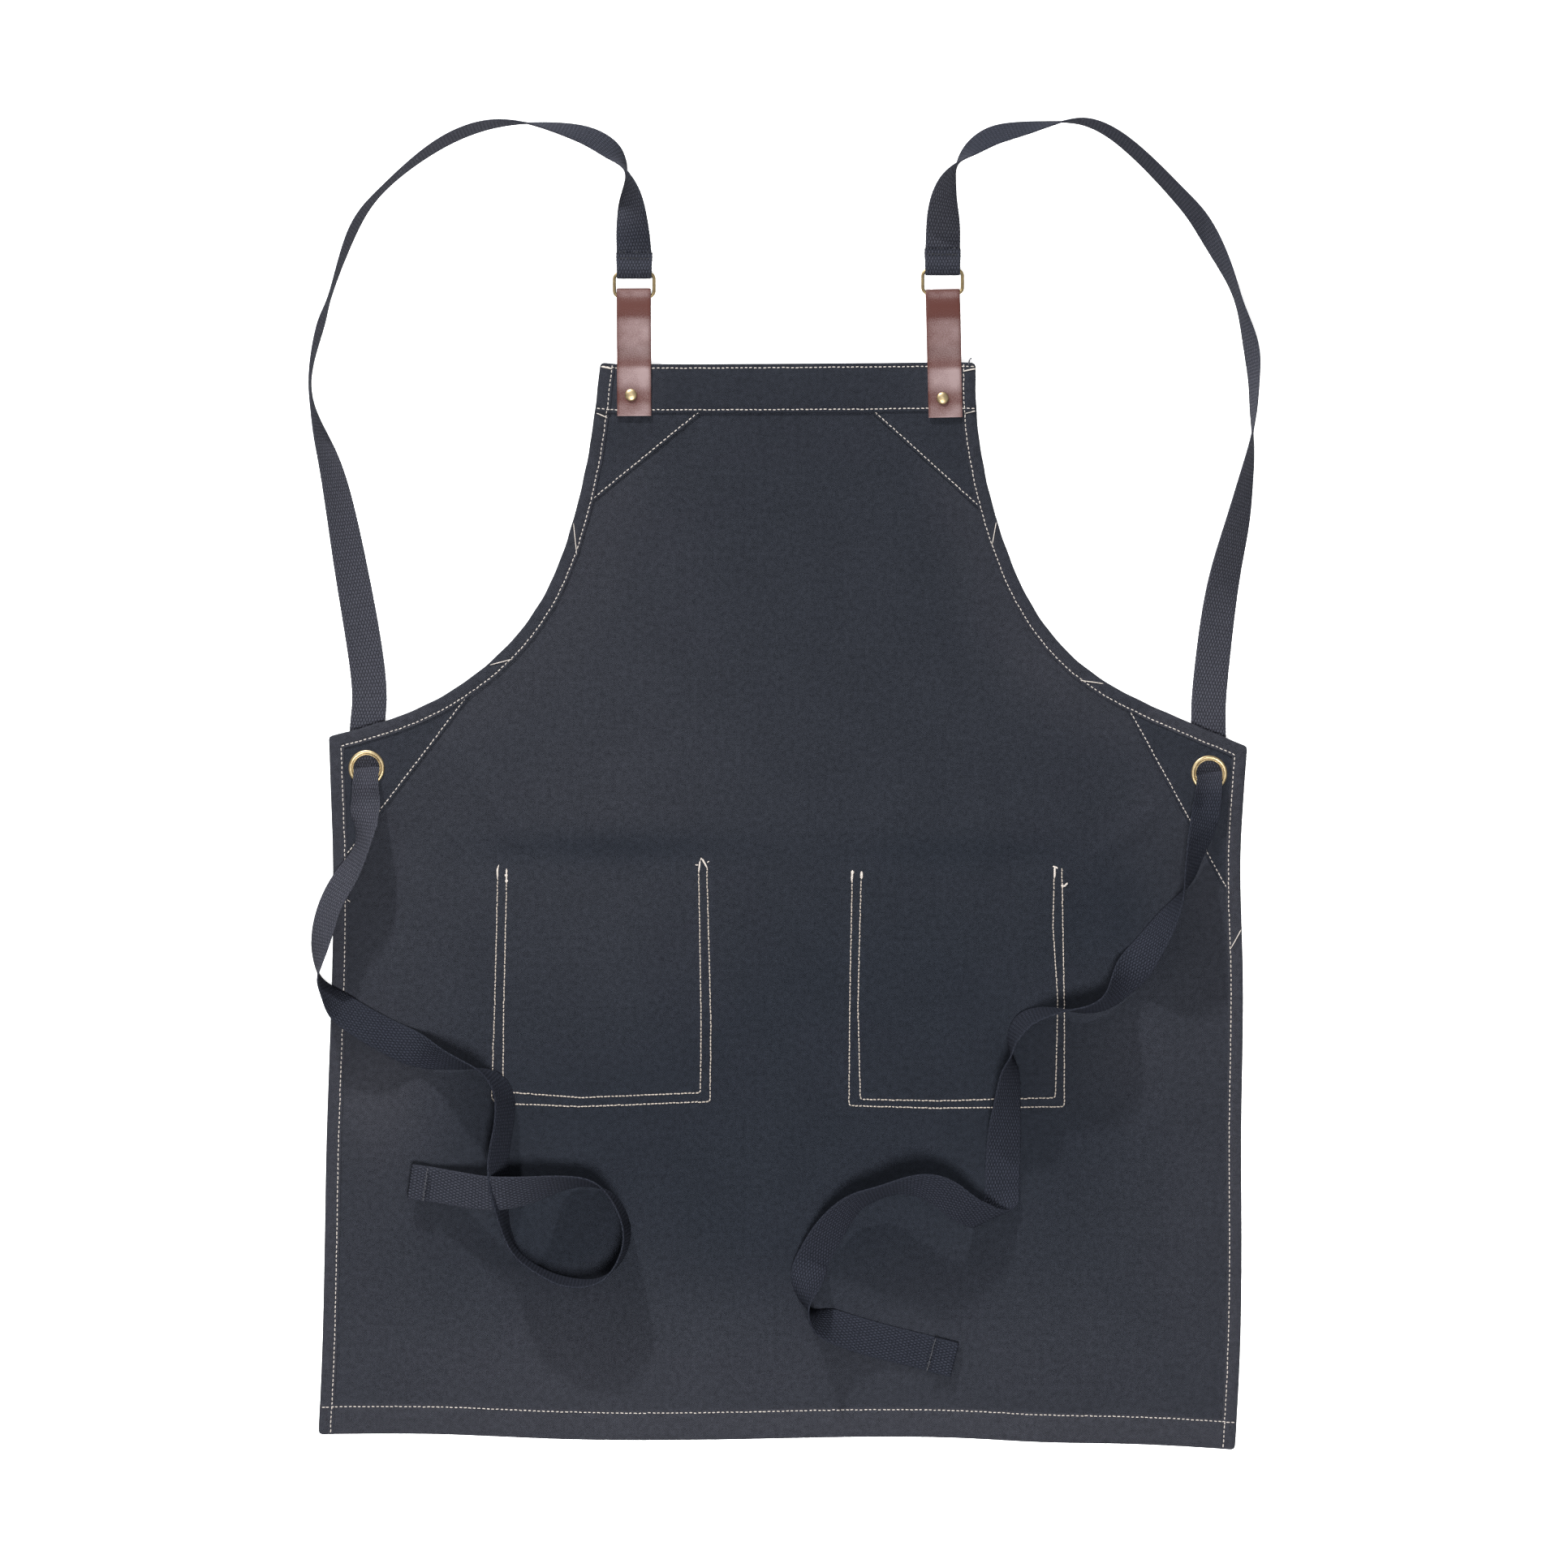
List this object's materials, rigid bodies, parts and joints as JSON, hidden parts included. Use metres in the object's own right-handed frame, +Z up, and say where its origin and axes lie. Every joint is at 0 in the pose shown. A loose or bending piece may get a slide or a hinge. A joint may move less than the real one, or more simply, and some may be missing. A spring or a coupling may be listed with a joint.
{
  "type": "kitchen apron",
  "caption": "Cross-back twill bib apron laid flat with its inner side up, webbing straps from brass rings on leather tabs through side eyelets, patch pockets underneath.",
  "frame": {"origin": "on the floor, under the middle of the laid-out apron's box", "axes": "+Y from the hem towards the bib, +X to the right seen from above, +Z up from the floor"},
  "size_m": [0.6978, 0.982, 0.0288],
  "materials": {
    "twill": "matt charcoal-navy cotton twill",
    "webbing": "matt dark navy cotton webbing",
    "leather": "semi-gloss brown, fine grain",
    "antique_brass": "dull antique brass",
    "bright_brass": "satin pale brass",
    "thread": "cream sewing thread"
  },
  "bodies": {
    "root": {"apron_panel": "twill", "bib_patch_left": "twill", "bib_patch_right": "twill", "side_patch_left": "twill", "side_patch_right": "twill", "pocket_left": "twill", "pocket_right": "twill", "strap_left": "webbing", "strap_right": "webbing", "leather_tab_left": "leather", "leather_tab_right": "leather", "rivet_left": "bright_brass", "rivet_right": "bright_brass", "strap_ring_left": "antique_brass", "strap_ring_right": "antique_brass", "eyelet_left": "bright_brass", "eyelet_right": "bright_brass"}
  },
  "joints": []
}
